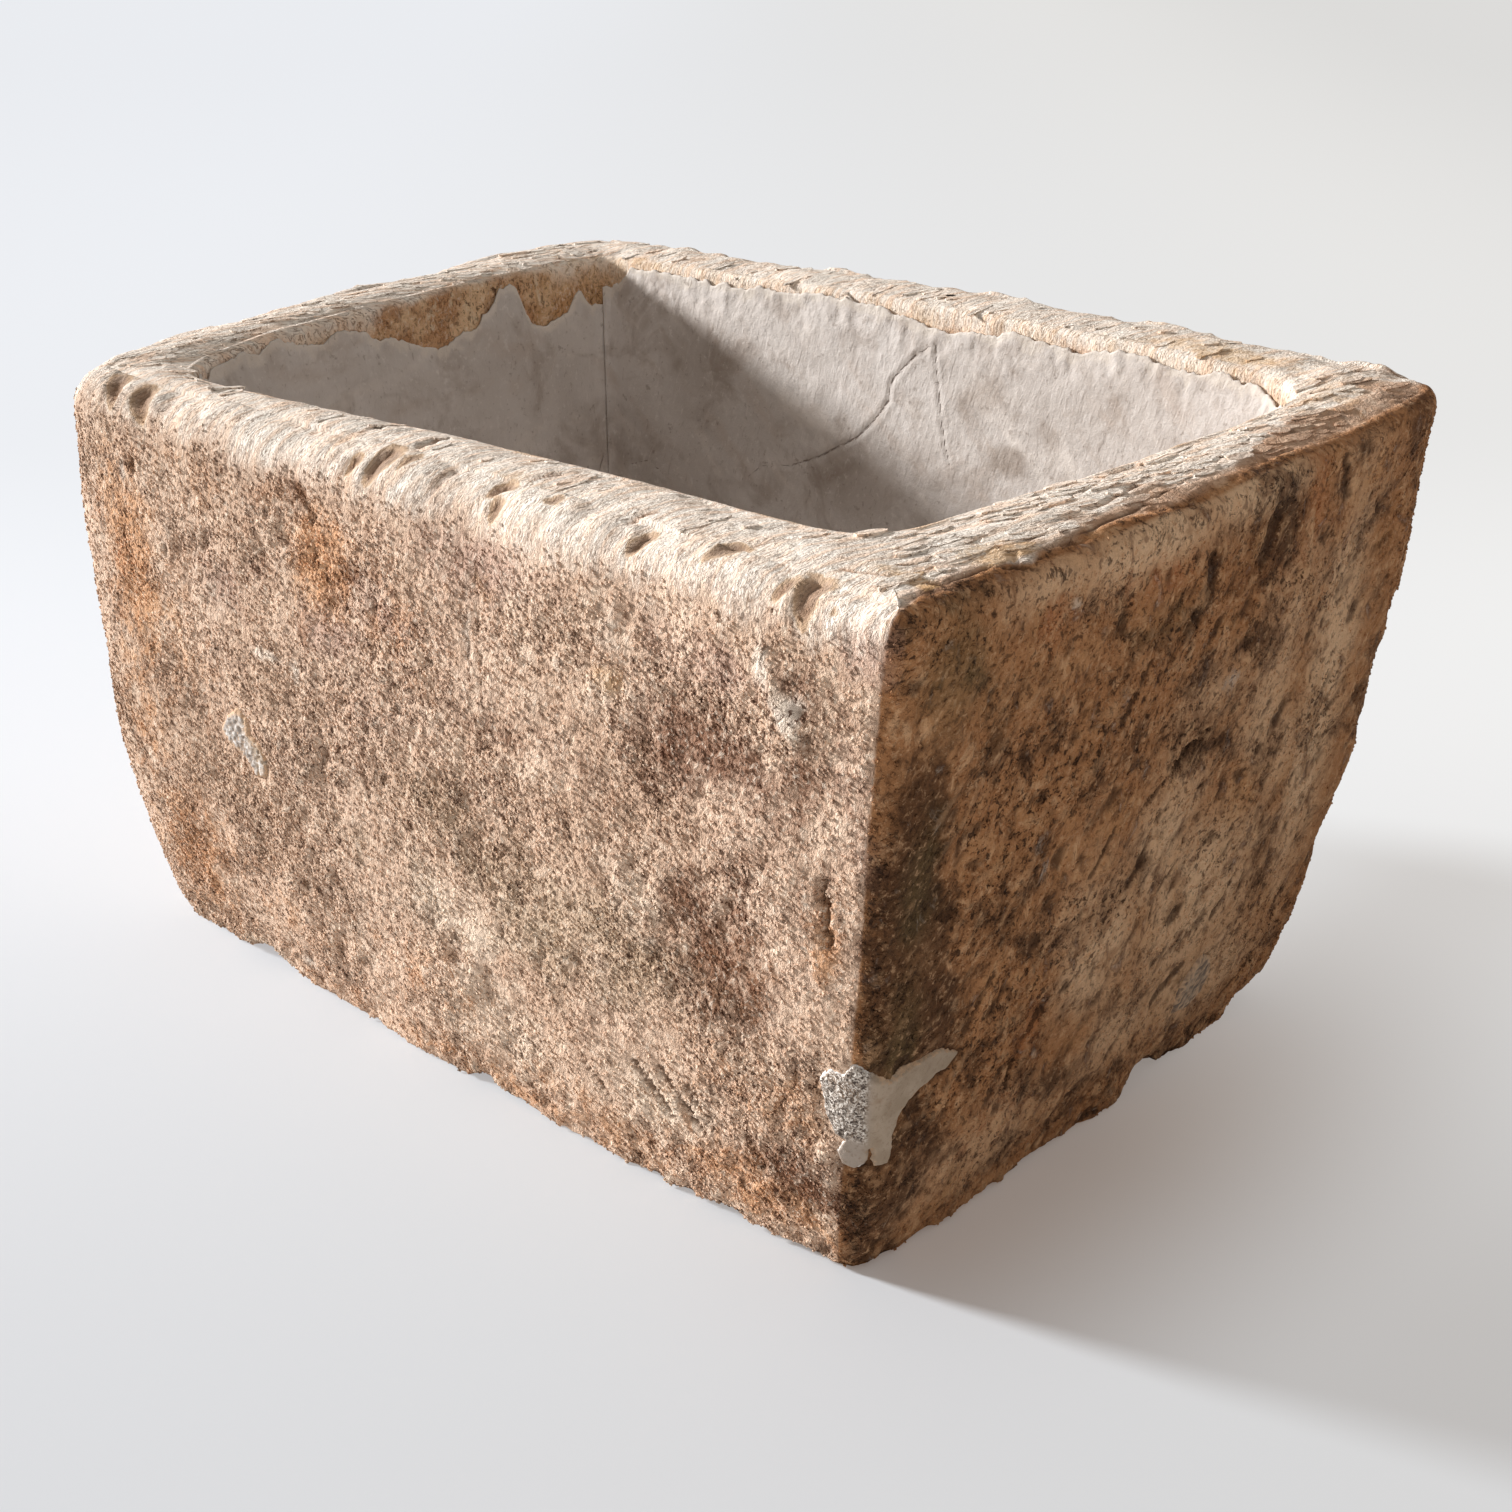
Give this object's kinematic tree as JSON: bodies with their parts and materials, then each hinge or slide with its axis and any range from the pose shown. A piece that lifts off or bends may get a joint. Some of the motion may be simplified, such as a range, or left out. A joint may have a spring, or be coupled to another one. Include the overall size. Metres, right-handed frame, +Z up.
{
  "type": "stone trough planter",
  "caption": "Old hand-hewn stone trough used as a planter: tapered block with a deep open basin lined in cement render, a drain hole and mortar repairs.",
  "frame": {"origin": "centre of the overall footprint, on the ground", "axes": "+X along the length towards the right end face, -Y out of the long front face that carries the pick gouges, +Z up"},
  "size_m": [0.632, 0.4362, 0.355],
  "materials": {
    "hewn_stone": "weathered, pitted and unsealed",
    "cement_render": "trowelled, matt",
    "repair_mortar": "rough, matt"
  },
  "bodies": {
    "root": {"stone_trough": "hewn_stone", "floor_screed": "cement_render", "render_front": "cement_render", "render_right_end": "cement_render", "render_back": "cement_render", "render_left_end": "cement_render", "corner_repair": "repair_mortar", "front_fill": "repair_mortar", "end_fill": "repair_mortar"}
  },
  "joints": []
}
